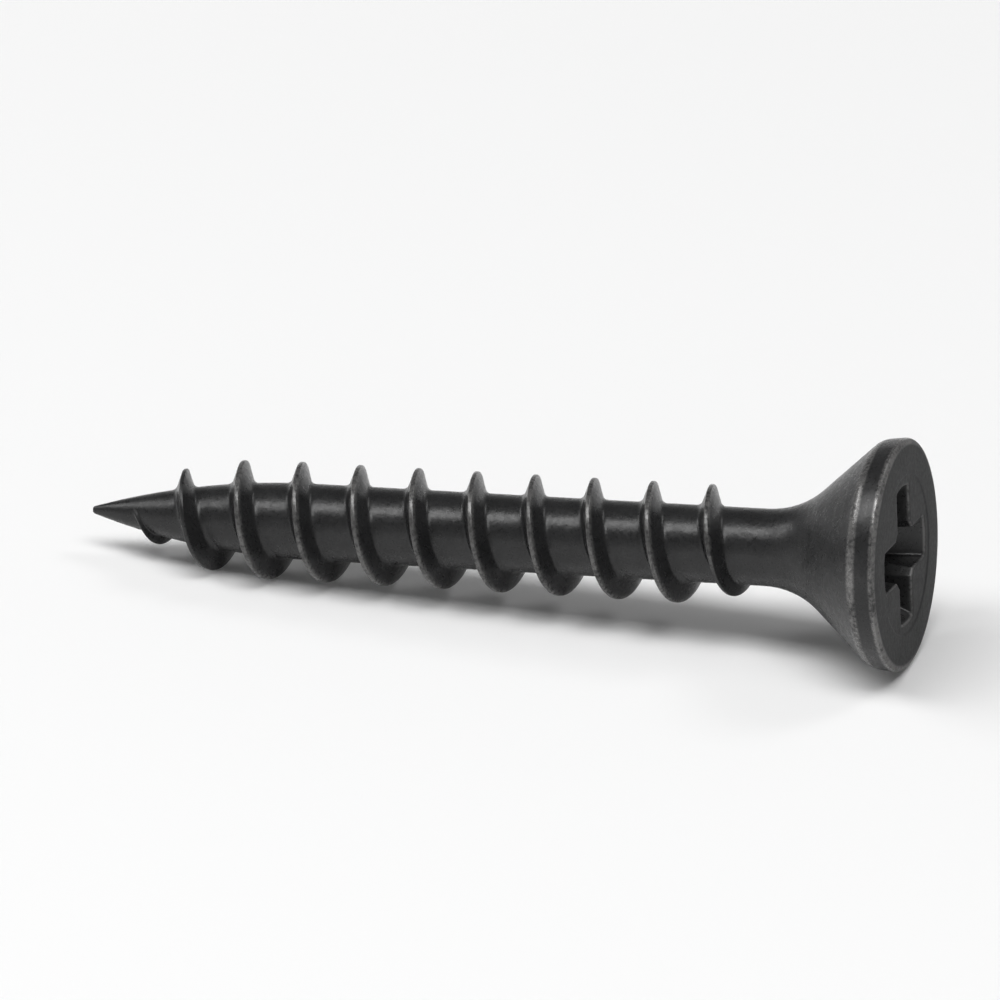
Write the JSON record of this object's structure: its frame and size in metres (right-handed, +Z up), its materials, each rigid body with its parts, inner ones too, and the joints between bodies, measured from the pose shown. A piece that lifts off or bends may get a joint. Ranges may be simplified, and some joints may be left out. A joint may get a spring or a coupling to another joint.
{
  "type": "drywall screw",
  "caption": "Black drywall screw with a bugle head, a cross recess, a coarse right-hand thread and a sharp point; it draws board onto studs.",
  "frame": {"origin": "on the surface that the screw lies on, under the middle of its bounding box", "axes": "+Z up; the screw's axis is in the XZ plane with the head toward +X, raised 5 degrees toward the head, as the screw rests on its rim and on a thread crest near the point"},
  "size_m": [0.0302, 0.0082, 0.0082],
  "materials": {
    "black_phosphate": "satin"
  },
  "bodies": {
    "root": {"drywall_screw": "black_phosphate"}
  },
  "joints": []
}
